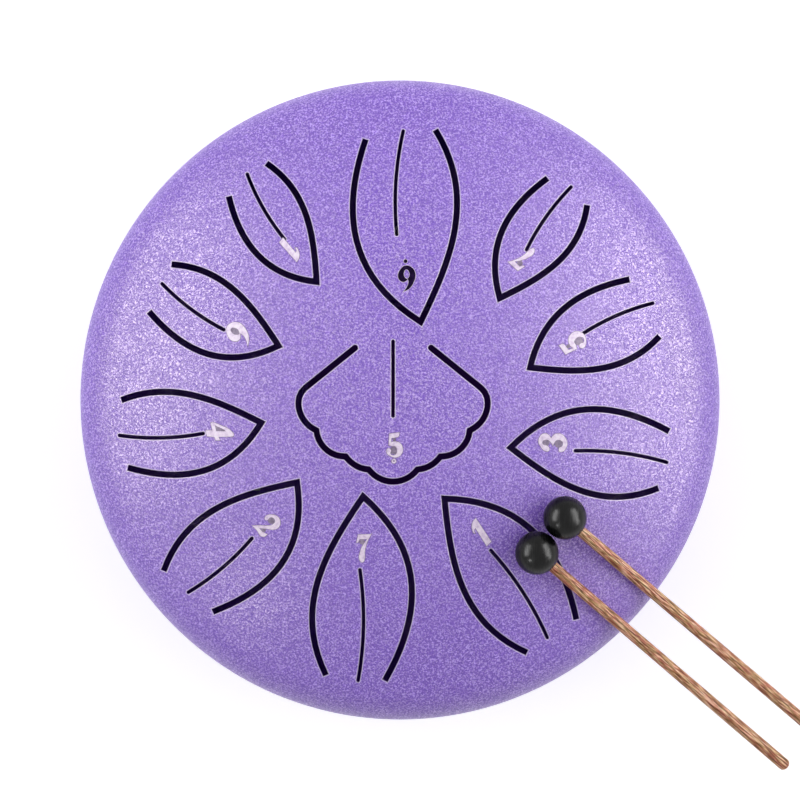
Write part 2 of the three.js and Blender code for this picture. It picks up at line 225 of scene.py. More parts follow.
def facing_inwards(tree, middle):
    """1 on the faces of a hollow piece that look at its middle, and 0 on its outside."""
    outwards = node(tree, "ShaderNodeVectorMath", {0: object_place(tree), 1: middle}, operation="SUBTRACT")
    normal = node(tree, "ShaderNodeTexCoord").outputs["Normal"]
    facing = node(tree, "ShaderNodeVectorMath", {
        0: normal, 1: outwards.outputs[0],
    }, operation="DOT_PRODUCT")
    looks_in = -0.03
    looks_out = -0.02
    return spread(tree, facing.outputs["Value"], looks_in, looks_out, 1, 0)


def powder_coat():
    """Satin purple coat with a slightly warm sheen and a fine leathery grain of winding creases.

    It is paler on the crests of the slots' edges, partly where it thins and partly as a painted highlight
    of the rounded edges catching the light. Their walls carry painted shade, almost black, and inside
    the drum it has painted shade, a deeper violet.
    """
    made, tree, shader = material("powder_coat", Specular_IOR_Level=0.78, Specular_Tint=(1, 0.96, 0.6, 1))
    place = object_place(tree)
    wander = noise(tree, place, 760, roughness=0.55, distortion=0.8)
    off_crease = maths(tree, "ABSOLUTE", maths(tree, "SUBTRACT", wander, 0.5))
    pebble = spread(tree, off_crease, 0, 0.09, 0, 1)
    speck = noise(tree, place, 1150, detail=1.0)
    cloud = noise(tree, place, 45)
    body = ramp(tree, speck, (0.4, (120, 76, 207)), (0.5, (156, 118, 230)), (0.61, (202, 173, 253)))
    creased = mixed(tree, spread(tree, pebble, 0, 1, 0.8, 0), body, linear(88, 36, 181))
    cloudy = mixed(tree, spread(tree, cloud, 0.35, 0.65, 0, 0.15), creased, linear(130, 86, 213))
    edge = attribute(tree, "edge", "Fac")
    # Paler crests of the slots' edges: partly a thinner coat, partly a painted highlight
    thin_and_highlit = mixed(tree, spread(tree, edge, 0, 1, 0, 1), cloudy, linear(205, 191, 232))
    # Painted shade: the walls of the slots, almost black
    painted_shade_walled = mixed(tree, spread(tree, edge, -1, 0, 1, 0), thin_and_highlit, linear(22, 7, 52))
    # Painted shade: a deeper violet on the faces that look into the drum
    inside = facing_inwards(tree, (0, 0, seam_z * MM))
    feed(tree, shader, "Base Color", mixed(tree, inside, painted_shade_walled, linear(96, 24, 188)))
    feed(tree, shader, "Roughness", spread(tree, pebble, 0, 1, 0.42, 0.3))
    bump(tree, shader, maths(tree, "ADD", pebble, speck), 0.00008)
    return made


def number_foil(name, gloss, dark, middle, light):
    """Smooth foil, slightly cloudy between its dark and its light colour."""
    made, tree, shader = material(name, Specular_IOR_Level=gloss)
    place = object_place(tree)
    cloud = noise(tree, place, 600)
    feed(tree, shader, "Base Color", ramp(tree, cloud, (0.3, dark), (0.5, middle), (0.7, light)))
    feed(tree, shader, "Roughness", spread(tree, cloud, 0.3, 0.7, 0.45, 0.25))
    bump(tree, shader, cloud, 0.00004)
    return made


def mallet_rubber():
    """Black moulded rubber with a soft gloss, hazy and lightly scuffed."""
    made, tree, shader = material("mallet_rubber", Specular_IOR_Level=0.22)
    place = object_place(tree)
    haze = noise(tree, place, 160, detail=3.0, roughness=0.6, distortion=0.5)
    long_marks = node(tree, "ShaderNodeMapping", {
        "Vector": place, "Rotation": (0.3, 0.2, 0.9), "Scale": (1, 0.07, 0.07),
    }).outputs["Vector"]
    scuff = noise(tree, long_marks, 1500)
    colour = ramp(tree, haze, (0.35, (2, 2, 3)), (0.55, (6, 6, 7)), (0.8, (14, 14, 15)))
    feed(tree, shader, "Base Color", colour)
    hazy = spread(tree, haze, 0.3, 0.7, 0.2, 0.29)
    scuffed = spread(tree, scuff, 0.5, 0.75, 0, 0.2)
    feed(tree, shader, "Roughness", maths(tree, "ADD", hazy, scuffed))
    bump(tree, shader, scuff, 0.00002)
    return made


def foot_rubber():
    made, tree, shader = material("foot_rubber", Specular_IOR_Level=0.3)
    place = object_place(tree)
    dust = noise(tree, place, 90, detail=4.0, roughness=0.65)
    pores = noise(tree, place, 1500)
    colour = ramp(tree, dust, (0.35, (24, 24, 25)), (0.6, (36, 36, 37)), (0.8, (58, 57, 58)))
    feed(tree, shader, "Base Color", colour)
    feed(tree, shader, "Roughness", spread(tree, dust, 0.3, 0.7, 0.6, 0.8))
    bump(tree, shader, pores, 0.00008)
    return made


def zinc_steel():
    made, tree, shader = material("zinc_steel", Metallic=1.0)
    place = object_place(tree)
    spangle = node(tree, "ShaderNodeTexVoronoi", {"Vector": place, "Scale": 900}).outputs["Distance"]
    stain = noise(tree, place, 300, detail=3.0)
    colour = ramp(tree, stain, (0.3, (150, 150, 152)), (0.55, (186, 187, 190)), (0.75, (206, 208, 212)))
    feed(tree, shader, "Base Color", colour)
    feed(tree, shader, "Roughness", spread(tree, spangle, 0, 0.8, 0.28, 0.42))
    bump(tree, shader, stain, 0.00003)
    return made


def handle_wood(name, seed):
    """Streaked reddish wood.

    The grain runs along the stick, on the place that each point had as it was turned.
    """
    made, tree, shader = material(name, Specular_IOR_Level=0.2)
    turned = attribute(tree, "turned", "Vector")

    def grain_along(stretch, scale, detail, slant):
        along = node(tree, "ShaderNodeMapping", {
            "Vector": turned, "Location": (seed, 0, seed),
            "Rotation": (slant, slant, 0), "Scale": (1, 1, stretch),
        }).outputs["Vector"]
        return noise(tree, along, scale, detail, roughness=0.6)

    streak = grain_along(0.07, 1900, detail=2.0, slant=0.09)
    fibre = grain_along(0.06, 3000, detail=1.0, slant=0.07)
    patch = grain_along(0.14, 700, detail=2.0, slant=0.07)
    red = ramp(
        tree, streak,
        (0.36, (98, 46, 30)), (0.46, (176, 98, 72)), (0.54, (212, 138, 110)), (0.62, (252, 206, 178)),
    )
    tan = ramp(
        tree, streak,
        (0.36, (100, 72, 38)), (0.46, (176, 132, 84)), (0.54, (210, 166, 118)), (0.62, (252, 216, 174)),
    )
    body = mixed(tree, spread(tree, patch, 0.42, 0.58, 0, 1), red, tan)
    pores = mixed(tree, spread(tree, fibre, 0.56, 0.68, 0, 0.8), body, linear(92, 54, 40))
    feed(tree, shader, "Base Color", pores)
    feed(tree, shader, "Roughness", spread(tree, streak, 0.3, 0.7, 0.55, 0.42))
    bump(tree, shader, maths(tree, "SUBTRACT", streak, fibre), 0.00012)
    return made


# Geometry Nodes trees. Each takes a mesh and a material, and sizes by name

# Points of a turned mesh that are closer than this, in metres, are one
LATHE_REACH = 1e-6


def geometry_tree(name, floats=(), integers=()):
    tree = bpy.data.node_groups.new(name, "GeometryNodeTree")
    sockets = [("Geometry", "NodeSocketGeometry"), ("Material", "NodeSocketMaterial")]
    sockets += [(label, "NodeSocketFloat") for label in floats]
    sockets += [(label, "NodeSocketInt") for label in integers]
    for label, kind in sockets:
        tree.interface.new_socket(label, in_out="INPUT", socket_type=kind)
    tree.interface.new_socket("Geometry", in_out="OUTPUT", socket_type="NodeSocketGeometry")
    return tree, tree.nodes.new("NodeGroupInput").outputs


def end_tree(tree, given, geometry):
    whole = node(tree, "GeometryNodeRealizeInstances", {"Geometry": geometry})
    finished = node(tree, "GeometryNodeSetMaterial", {
        "Geometry": whole.outputs[0], "Material": given["Material"],
    })
    tree.links.new(finished.outputs[0], tree.nodes.new("NodeGroupOutput").inputs[0])
    return tree


def position_of(tree):
    return node(tree, "GeometryNodeInputPosition").outputs[0]


def dome_press():
    """Presses flat sheet into the dome. The sheet lies round the Z axis with its outer face at Z = 0."""
    tree, given = geometry_tree(
        "dome_press", ("Crown Radius", "Crown Sweep", "Crown Level", "Shoulder Radius"),
    )
    crown, sweep, shoulder = given["Crown Radius"], given["Crown Sweep"], given["Shoulder Radius"]
    x, y, layer = node(tree, "ShaderNodeSeparateXYZ", {0: position_of(tree)}).outputs
    flat = maths(tree, "SQRT", maths(tree, "ADD", maths(tree, "POWER", x, 2), maths(tree, "POWER", y, 2)))
    crown_length = maths(tree, "MULTIPLY", crown, sweep)
    beyond_crown = maths(tree, "MAXIMUM", maths(tree, "SUBTRACT", flat, crown_length), 0)
    crown_turn = maths(tree, "MINIMUM", maths(tree, "DIVIDE", flat, crown), sweep)
    free_turn = maths(tree, "ADD", sweep, maths(tree, "DIVIDE", beyond_crown, shoulder))
    shoulder_turn = maths(tree, "MINIMUM", free_turn, RIGHT_ANGLE)
    drop = maths(tree, "MULTIPLY", maths(tree, "SUBTRACT", free_turn, shoulder_turn), shoulder)

    def pressed(function):
        """Reach or height of a point: along the crown's arc, then on along the shoulder's."""
        crown_layer = maths(tree, "ADD", crown, layer)
        on_crown = maths(tree, "MULTIPLY", crown_layer, maths(tree, function, crown_turn))
        shoulder_layer = maths(tree, "ADD", shoulder, layer)
        step = maths(tree, "SUBTRACT", maths(tree, function, shoulder_turn), maths(tree, function, sweep))
        on_shoulder = maths(tree, "MULTIPLY", shoulder_layer, step)
        return maths(tree, "ADD", on_crown, on_shoulder)

    share = maths(tree, "DIVIDE", pressed("SINE"), flat)
    level = maths(tree, "ADD", given["Crown Level"], maths(tree, "SUBTRACT", pressed("COSINE"), drop))
    place = node(tree, "ShaderNodeCombineXYZ", {
        "X": maths(tree, "MULTIPLY", x, share), "Y": maths(tree, "MULTIPLY", y, share), "Z": level,
    })
    moved = node(tree, "GeometryNodeSetPosition", {
        "Geometry": given["Geometry"], "Position": place.outputs[0],
    })
    return end_tree(tree, given, moved.outputs[0])


def turning_lathe():
    """Turns a row of (radius, 0, height) points round the Z axis. It runs upwards on the outside."""
    tree, given = geometry_tree("turning_lathe", integers=("Sides",))
    size = node(tree, "GeometryNodeAttributeDomainSize", {"Geometry": given["Geometry"]})
    points = size.outputs["Point Count"]
    grid = node(tree, "GeometryNodeMeshGrid", {
        "Vertices X": maths(tree, "ADD", given["Sides"], 1), "Vertices Y": points,
    })
    index = node(tree, "GeometryNodeInputIndex").outputs[0]
    column = maths(tree, "FLOOR", maths(tree, "DIVIDE", maths(tree, "ADD", index, 0.5), points))
    row = maths(tree, "SUBTRACT", index, maths(tree, "MULTIPLY", column, points))
    profile = node(tree, "GeometryNodeSampleIndex", {
        "Geometry": given["Geometry"], "Index": row,
    }, data_type="FLOAT_VECTOR")
    tree.links.new(position_of(tree), next(s for s in profile.inputs if s.name == "Value" and s.enabled))
    sampled = next(s for s in profile.outputs if s.enabled)
    turn = maths(tree, "MULTIPLY", maths(tree, "DIVIDE", column, given["Sides"]), FULL_TURN)
    place = node(tree, "ShaderNodeVectorRotate", {"Vector": sampled, "Angle": turn}, rotation_type="Z_AXIS")
    moved = node(tree, "GeometryNodeSetPosition", {
        "Geometry": grid.outputs["Mesh"], "Position": place.outputs[0],
    })
    closed = node(tree, "GeometryNodeMergeByDistance", {
        "Geometry": moved.outputs[0], "Distance": LATHE_REACH,
    })
    kept = node(tree, "GeometryNodeStoreNamedAttribute", {
        "Geometry": closed.outputs[0], "Name": "turned",
    }, data_type="FLOAT_VECTOR", domain="POINT")
    tree.links.new(position_of(tree), next(s for s in kept.inputs if s.name == "Value" and s.enabled))
    return end_tree(tree, given, kept.outputs[0])


def round_of():
    """Repeats a piece on a circle round the Z axis."""
    tree, given = geometry_tree("round_of", ("Circle Radius", "Bearing"), ("Count",))
    circle = node(tree, "GeometryNodeMeshCircle", {
        "Vertices": given["Count"], "Radius": given["Circle Radius"],
    })
    bearing = node(tree, "ShaderNodeCombineXYZ", {"Z": given["Bearing"]})
    places = node(tree, "GeometryNodeTransform", {
        "Geometry": circle.outputs[0], "Rotation": bearing.outputs[0],
    })
    copies = node(tree, "GeometryNodeInstanceOnPoints", {
        "Points": places.outputs[0], "Instance": given["Geometry"],
    })
    return end_tree(tree, given, copies.outputs[0])


def cross_recess():
    """Cuts a cross recess upwards into the underside of a screw head."""
    tree, given = geometry_tree("cross_recess", ("Length", "Width", "Depth", "Level"))
    recess = node(tree, "GeometryNodeMeshBoolean", {
        "Mesh 1": given["Geometry"],
    }, operation="DIFFERENCE", solver="MANIFOLD")
    below = node(tree, "ShaderNodeCombineXYZ", {"Z": given["Level"]})
    deep = maths(tree, "MULTIPLY", given["Depth"], 2)
    for across in (("Length", "Width"), ("Width", "Length")):
        size = node(tree, "ShaderNodeCombineXYZ", {"X": given[across[0]], "Y": given[across[1]], "Z": deep})
        bar = node(tree, "GeometryNodeMeshCube", {"Size": size.outputs[0]})
        set_low = node(tree, "GeometryNodeTransform", {
            "Geometry": bar.outputs["Mesh"], "Translation": below.outputs[0],
        })
        tree.links.new(set_low.outputs[0], recess.inputs["Mesh 2"])
    return end_tree(tree, given, recess.outputs["Mesh"])


def hexagon_cut():
    """Leaves what lies inside an upright hexagon."""
    tree, given = geometry_tree("hexagon_cut", ("Corner Radius", "Height", "Level"))
    bar = node(tree, "GeometryNodeMeshCylinder", {
        "Vertices": 6, "Radius": given["Corner Radius"], "Depth": given["Height"],
    })
    middle = node(tree, "ShaderNodeCombineXYZ", {"Z": given["Level"]})
    upright = node(tree, "GeometryNodeTransform", {
        "Geometry": bar.outputs["Mesh"], "Translation": middle.outputs[0],
    })
    both = node(tree, "GeometryNodeMeshBoolean", operation="INTERSECT")
    tree.links.new(given["Geometry"], both.inputs["Mesh 2"])
    tree.links.new(upright.outputs[0], both.inputs["Mesh 2"])
    return end_tree(tree, given, both.outputs["Mesh"])


# Meshes and pieces

# Edges that turn by more than this are shaded as sharp, unless a piece has its own limit
SHARP_DEGREES = 40


def linked(name, mesh):
    made = bpy.data.objects.new(name, mesh)
    bpy.context.scene.collection.objects.link(made)
    return made


def mesh_object(name, points, faces=()):
    """Points are in millimetres."""
    mesh = bpy.data.meshes.new(name)
    mesh.from_pydata((np.asarray(points, float) * MM).tolist(), [], [list(map(int, f)) for f in faces])
    return linked(name, mesh)


def shaped(source, tree, finish, **sizes):
    """The plain mesh object that a tree makes of a source object, which goes."""
    modifier = source.modifiers.new(tree.name, "NODES")
    modifier.node_group = tree
    values = {"Material": finish, **{name.replace("_", " "): value for name, value in sizes.items()}}
    for item in tree.interface.items_tree:
        if item.in_out == "INPUT" and item.name in values:
            modifier[item.identifier] = values[item.name]
    graph = bpy.context.evaluated_depsgraph_get()
    mesh = bpy.data.meshes.new_from_object(
        source.evaluated_get(graph), preserve_all_data_layers=True, depsgraph=graph,
    )
    name = source.name
    bpy.data.objects.remove(source)
    return linked(name, mesh)


def shaded(piece, sharp_degrees=SHARP_DEGREES):
    piece.data.shade_smooth()
    piece.data.set_sharp_from_angle(angle=math.radians(sharp_degrees))
    return piece


def dressed(piece, body, slot, *nodes):
    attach(piece, body)
    if nodes:
        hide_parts(*nodes)
    return piece


LATHE = turning_lathe()
PRESS = dome_press()
ROUND = round_of()


def turned(name, profile, finish, sides):
    row = mesh_object(name, [(radius, 0, height) for radius, height in profile])
    return shaped(row, LATHE, finish, Sides=sides)


def pressed(source, finish):
    return shaped(
        source, PRESS, finish,
        Crown_Radius=CROWN_RADIUS * MM, Crown_Sweep=crown_sweep,
        Crown_Level=crown_z * MM, Shoulder_Radius=SHOULDER_RADIUS * MM,
    )


def arc(x, z, radius, start, end, steps):
    """Points of a profile on an arc, its angles from +Z towards the outside."""
    angles = np.linspace(start, end, steps + 1)
    return [(x + radius * math.sin(a), z + radius * math.cos(a)) for a in angles]


# Tongue pattern in plan, its points as complex numbers

# Each leaf tongue: its tip, the two ends of its slot at its root, how far its fuller and its leaner
# side belly out, and the two ends of the slit along its rib
LEAVES = {
    "low_6": (9.5 + 36j, -16 + 121j, 16.5 + 125.5j, 17.5, 12.5, 1.5 + 125j, -1.5 + 76.5j),
    "note_7": (46 + 47j, 68.5 + 103j, 87 + 90.5j, 10.5, 8, 79.5 + 99j, 58.5 + 69.5j),
    "note_5": (60 + 15j, 106.5 + 56j, 120.5 + 29.5j, 10, 8, 117.5 + 45j, 85 + 31j),
    "note_3": (51 - 22j, 125 - 14.5j, 120 - 41j, 14, 10.5, 124 - 29j, 81 - 23.5j),
    "note_1": (20.5 - 45.5j, 82 - 102j, 59 - 117.5j, 16.5, 12, 68.5 - 110.5j, 42 - 69.5j),
    "low_7": (-17 - 44.5j, -7 - 130.5j, -34.5 - 128j, 17.5, 12.5, -19.5 - 130.5j, -18.5 - 78.5j),
    "note_2": (-47.5 - 38j, -87 - 98.5j, -110 - 79.5j, 14.5, 10.5, -98.5 - 89.5j, -68.5 - 64j),
    "note_4": (-64 - 10.5j, -126.5 - 31.5j, -129.5, 12.5, 7.5, -130.5 - 16.5j, -91 - 15.5j),
    "note_6": (-56 + 25j, -116.5 + 41j, -106 + 63j, 12, 8, -110.5 + 54j, -81.5 + 32.5j),
    "high_1": (-38.5 + 54.5j, -79.5 + 94.5j, -62 + 110j, 10, 7.5, -71 + 105j, -53.5 + 74.5j),
}

# The right half of the fan-shaped centre tongue, measured from its middle line
FAN_MIDDLE = -3.2
FAN_ROOT = 17.5 + 24j
FAN_SHOULDER = 40.5 + 5.5j
FAN_LOBES = [(43.6 - 1.2j, 0.8, 3), (35.3 - 14j, 2.3, 8), (21.8 - 26j, 3.6, 9), (11.2 - 32j, 1.4, 7)]
FAN_FLANK_STEPS = 8
FAN_MIDDLE_SAGITTA = 5.6
FAN_MIDDLE_STEPS = 14
FAN_RIB = (27j, -7.3j)

LEAF_STEPS = 20
RIB_STEPS = 10
SLOT_END_STEPS = 8
RIM_SIDES = 256

drawn_reach = max(
    abs(end)
    for _, full_end, lean_end, _, _, rib_root, rib_tip in LEAVES.values()
    for end in (full_end, lean_end, rib_root, rib_tip)
)
pattern_scale = (DRUM_RADIUS - RIM_MARGIN) / drawn_reach


def belly(start, end, height, shape, steps):
    """A cubic curve that swells to the right of its way, by a height at mid length."""
    along = end - start
    aside = -1j * along / abs(along)
    both_thirds = height * 8 / 3
    near_start = both_thirds / (1 + shape)
    first = start + along / 3 + aside * near_start
    second = start + along * 2 / 3 + aside * (both_thirds - near_start)
    t = np.linspace(0, 1, steps + 1)
    left = 1 - t
    return left ** 3 * start + 3 * left ** 2 * t * first + 3 * left * t ** 2 * second + t ** 3 * end


def bulge(start, end, sagitta, steps):
    """An arc that bulges to the left of its way by its sagitta."""
    half = abs(end - start) / 2
    radius = (half ** 2 + sagitta ** 2) / (2 * sagitta)
    centre = (start + end) / 2 + 1j * (end - start) / (2 * half) * (sagitta - radius)
    sweep = 4 * math.atan(sagitta / half)
    return centre + (start - centre) * np.exp(-1j * sweep * np.linspace(0, 1, steps + 1))


def slot_loop(line, width, grow, round_ends):
    """Outline of a slot along a line, anticlockwise, grown on all sides."""
    way = np.diff(line) / abs(np.diff(line))
    line = line.copy()
    if not round_ends:
        line[0] -= way[0] * grow
        line[-1] += way[-1] * grow
    before = 1j * np.concatenate([way[:1], way])
    after = 1j * np.concatenate([way, way[-1:]])
    mitre = (before + after) / (1 + (before * after.conj()).real)
    half = width / 2 + grow
    right, left = line - mitre * half, line + mitre * half
    if not round_ends:
        return np.concatenate([right, left[::-1]])
    turn = np.exp(1j * np.linspace(-RIGHT_ANGLE, RIGHT_ANGLE, SLOT_END_STEPS + 1))
    far_end = line[-1] + half * way[-1] * turn
    near_end = line[0] - half * way[0] * turn
    return np.concatenate([right[1:-1], far_end, left[-2:0:-1], near_end])


def leaf_lines(tip, full_end, lean_end, full, lean, rib_root, rib_tip):
    full_side = belly(tip, full_end, -full, 1 / FULL_SIDE_SHAPE, LEAF_STEPS)
    lean_side = belly(tip, lean_end, lean, 1 / LEAN_SIDE_SHAPE, LEAF_STEPS)
    rib = belly(rib_root, rib_tip, RIB_BOW * abs(rib_tip - rib_root), 1, RIB_STEPS)
    return np.concatenate([full_side[::-1], lean_side[1:]]), rib


def fan_lines():
    half = [np.linspace(FAN_ROOT, FAN_SHOULDER, FAN_FLANK_STEPS + 1)]
    for end, sagitta, steps in FAN_LOBES:
        half.append(bulge(half[-1][-1], end, sagitta, steps)[1:])
    right = np.concatenate(half)
    left = -right.conj()[::-1]
    middle = bulge(right[-1], left[0], FAN_MIDDLE_SAGITTA, FAN_MIDDLE_STEPS)
    rib = np.linspace(*FAN_RIB, RIB_STEPS + 1)
    return FAN_MIDDLE + np.concatenate([right, middle[1:-1], left]), FAN_MIDDLE + rib


def slots():
    """Line, width and kind of end of every slot."""
    every = []
    for leaf in LEAVES.values():
        outline, rib = leaf_lines(*leaf)
        every += [(outline * pattern_scale, SLOT_WIDTH, False), (rib * pattern_scale, RIB_SLIT_WIDTH, True)]
    outline, rib = fan_lines()
    every += [(outline * pattern_scale, SLOT_WIDTH, True), (rib * pattern_scale, RIB_SLIT_WIDTH, True)]
    return every


# Upper shell: a flat blank with the slots cut in it, then pressed into the dome

# Spacing of the points inside each face of the blank, and how far they keep from its borders
OUTER_SPACING = 3.2
OUTER_CLEARANCE = 2.2
INNER_SPACING = 6.4
INNER_CLEARANCE = 2.6
# Width of the narrow strip that keeps the face flat up to a rounded edge
EDGE_STRIP = 0.3
# How far the painted shade of a slot's wall reaches out on its rounded edge
PAINTED_SHADE_EDGE = 0.16
# Marks of the points on the pale crest of a slot's edge, partly thinner coat and partly painted highlight,
# and on its wall, which has painted shade. All others have 0
THIN_AND_HIGHLIT_CREST = 1
PAINTED_SHADE_WALL = -1
# Points on each side of a border that the clearance is measured to
BORDER_SHARES = 6
# Points of the blank that are closer than this, in millimetres, are one
BLANK_REACH = 1e-6


def flattened(points, depth):
    """Where plan points of the dome, on a layer at a depth in the sheet, lie on the flat blank."""
    reach = abs(points)
    crown_edge = (CROWN_RADIUS - depth) * math.sin(crown_sweep)
    on_crown = CROWN_RADIUS * np.arcsin(np.minimum(reach, crown_edge) / (CROWN_RADIUS - depth))
    turn = np.arcsin((np.maximum(reach, crown_edge) - shoulder_x) / (SHOULDER_RADIUS - depth))
    return points / reach * (on_crown + SHOULDER_RADIUS * (turn - crown_sweep))


def rounding(size, steps=4):
    """(grow, depth) of the levels that round an edge over from the face to the wall."""
    turns = np.linspace(0, RIGHT_ANGLE, steps + 1)
    return [(size * (1 - math.sin(a)), size * (1 - math.cos(a))) for a in turns]


def blank_face(loops, rim, spacing, clearance):
    """Points and triangles of one face of the blank, inside the rim and outside the loops."""
    borders = [*loops, rim]
    starts = np.cumsum([0, *map(len, loops)])
    openings = [list(range(first, first + len(loop))) for first, loop in zip(starts, loops)]
    shares = np.linspace(0, 1, BORDER_SHARES, endpoint=False)
    dense = np.concatenate([
        (b[:, None] + (np.roll(b, -1) - b)[:, None] * shares).ravel() for b in borders
    ])
    tree = kdtree.KDTree(len(dense))
    for i, point in enumerate(dense):
        tree.insert((point.real, point.imag, 0), i)
    tree.balance()
    rings = np.arange(spacing, abs(rim[0]), spacing)
    fill = [0j]
    for i, ring in enumerate(rings):
        count = round(FULL_TURN * ring / spacing)
        fill += list(ring * np.exp(1j * FULL_TURN * (np.arange(count) + 0.5 * (i % 2)) / count))
    fill = [p for p in fill if tree.find((p.real, p.imag, 0))[2] > clearance]
    points = np.concatenate([*borders, fill])
    _, _, triangles, sources, _, opened = delaunay_2d_cdt(
        [Vector((p.real, p.imag)) for p in points], [], openings, 0, BLANK_REACH,
    )
    metal = [face for face, hole in zip(triangles, opened) if not hole]
    return points, [[sources[v][0] for v in face] for face in metal]


def slot_levels():
    """Levels down the wall of a slot: how far its outline is grown, its depth and its mark."""
    inner_rounding = SLOT_ROUNDING / 2
    levels = [(SLOT_ROUNDING + EDGE_STRIP, 0, 0)]
    for grow, depth in rounding(SLOT_ROUNDING):
        # The crest is marked for its paler tint, partly painted highlight; the wall is marked for painted
        # shade
        levels.append((grow, depth, THIN_AND_HIGHLIT_CREST if grow > PAINTED_SHADE_EDGE else PAINTED_SHADE_WALL))
    levels.append((0, 2 * SLOT_ROUNDING, PAINTED_SHADE_WALL))
    levels.append((0, SHEET - inner_rounding, PAINTED_SHADE_WALL))
    levels.append((inner_rounding, SHEET, 0))
    return levels


def blank_borders():
    """Borders of the slots and, last, of the rim. Each is a row of loops with their depths and marks."""
    borders = []
    for line, width, round_ends in slots():
        border = []
        for grow, depth, mark in slot_levels():
            loop = slot_loop(line, width, grow, round_ends)
            border.append((flattened(loop, depth), depth, mark))
        borders.append(border)
    circle = np.exp(-1j * FULL_TURN * np.arange(RIM_SIDES) / RIM_SIDES)
    outer_levels = rounding(SEAM_ROUNDING)
    inner_levels = [(grow, SHEET - depth) for grow, depth in reversed(outer_levels)]
    rim_levels = outer_levels + inner_levels
    borders.append([(circle * (sheet_length - grow), depth, 0) for grow, depth in rim_levels])
    return borders


def drum_blank():
    """The flat blank: two faces, and between them the walls along its borders."""
    borders = blank_borders()
    *slot_borders, rim_border = borders
    outer, outer_faces = blank_face(
        [border[0][0] for border in slot_borders], rim_border[0][0], OUTER_SPACING, OUTER_CLEARANCE,
    )
    inner, inner_faces = blank_face(
        [border[-1][0] for border in slot_borders], rim_border[-1][0], INNER_SPACING, INNER_CLEARANCE,
    )
    points = [np.column_stack([outer.real, outer.imag, np.zeros(len(outer))])]
    marks = [np.zeros(len(outer))]
    faces = list(outer_faces)
    inner_start = len(outer) + sum(len(loop) for b in borders for loop, _, _ in b[1:-1])
    faces += [[inner_start + v for v in reversed(face)] for face in inner_faces]
    outer_at, middle_at, inner_at = 0, len(outer), inner_start
    for border in borders:
        count = len(border[0][0])
        rows = [outer_at + np.arange(count)]
        for loop, depth, mark in border[1:-1]:
            points.append(np.column_stack([loop.real, loop.imag, np.full(count, -depth)]))
            marks.append(np.full(count, mark))
            rows.append(middle_at + np.arange(count))
            middle_at += count
        rows.append(inner_at + np.arange(count))
        outer_at += count
        inner_at += count
        for upper, lower in zip(rows, rows[1:]):
            faces += np.column_stack([upper, np.roll(upper, -1), np.roll(lower, -1), lower]).tolist()
    points.append(np.column_stack([inner.real, inner.imag, np.full(len(inner), -SHEET)]))
    marks.append(np.zeros(len(inner)))
    blank = mesh_object("drum_dome", np.concatenate(points), faces)
    layer = blank.data.attributes.new("edge", "FLOAT", "POINT")
    layer.data.foreach_set("value", np.concatenate(marks).astype(np.float32))
    return blank


def upper_shell(coat):
    dome = shaded(pressed(drum_blank(), coat), sharp_degrees=50)
    return dressed(dome, "drum", "powder_coat", "upper_shell")


# Lower shell

def lower_shell(coat):
    belly_end = RIGHT_ANGLE + BELLY_SWEEP
    lip_x, lip_z = SOUND_HOLE_RADIUS + LIP_BEND, bottom_z + LIP_BEND
    rim_z, lip_top = seam_z + LAP_HEIGHT, bottom_z + LIP_HEIGHT
    inner = lap_radius - SHEET
    outside = [
        (inner, rim_z - SEAM_ROUNDING),
        *arc(inner + SEAM_ROUNDING, rim_z - SEAM_ROUNDING, SEAM_ROUNDING, -RIGHT_ANGLE, 0, steps=3),
        *arc(lap_radius - SEAM_ROUNDING, rim_z - SEAM_ROUNDING, SEAM_ROUNDING, 0, RIGHT_ANGLE, steps=3),
        (lap_radius, seam_z),
        *arc(DRUM_RADIUS - SEAM_ROUNDING, seam_z - SEAM_ROUNDING, SEAM_ROUNDING, 0, RIGHT_ANGLE, steps=3),
        *arc(belly_x, belly_z, BELLY_RADIUS, RIGHT_ANGLE, belly_end, steps=24),
        *arc(heel_x, heel_z, HEEL_RADIUS, belly_end, HALF_TURN, steps=12)[1:],
        *arc(lip_x, lip_z, LIP_BEND, HALF_TURN, 3 * RIGHT_ANGLE, steps=6),
        (SOUND_HOLE_RADIUS, lip_top),
    ]
    inside = [
        (SOUND_HOLE_RADIUS + SHEET, lip_top),
        *arc(lip_x, lip_z, LIP_BEND - SHEET, 3 * RIGHT_ANGLE, HALF_TURN, steps=6),
        *arc(heel_x, heel_z, HEEL_RADIUS - SHEET, HALF_TURN, belly_end, steps=12),
        *arc(belly_x, belly_z, BELLY_RADIUS - SHEET, belly_end, RIGHT_ANGLE, steps=24)[1:],
        (DRUM_RADIUS - SHEET, seam_z - SHEET),
        (inner, seam_z - SHEET),
    ]
    profile = [*outside, *inside, outside[0]]
    bowl = shaded(turned("drum_bowl", profile[::-1], coat, sides=192))
    return dressed(bowl, "drum", "powder_coat", "lower_shell")


# Feet: each piece is built on the Z axis and repeated round the drum

recess_top = FOOT_HEIGHT - FOOT_WEB
washer_bottom = recess_top - WASHER_THICKNESS
screw_tip = FOOT_HEIGHT + SHEET + NUT_HEIGHT + SCREW_STICK_OUT


def set_of_three(piece, finish, slot, node_name, sharp_degrees=SHARP_DEGREES):
    repeated = shaped(
        piece, ROUND, finish,
        Circle_Radius=foot_circle * MM, Bearing=FOOT_BEARING, Count=FOOT_COUNT,
    )
    nodes = [f"{node_name}_{i + 1}" for i in range(FOOT_COUNT)]
    return dressed(shaded(repeated, sharp_degrees), "drum", slot, *nodes)


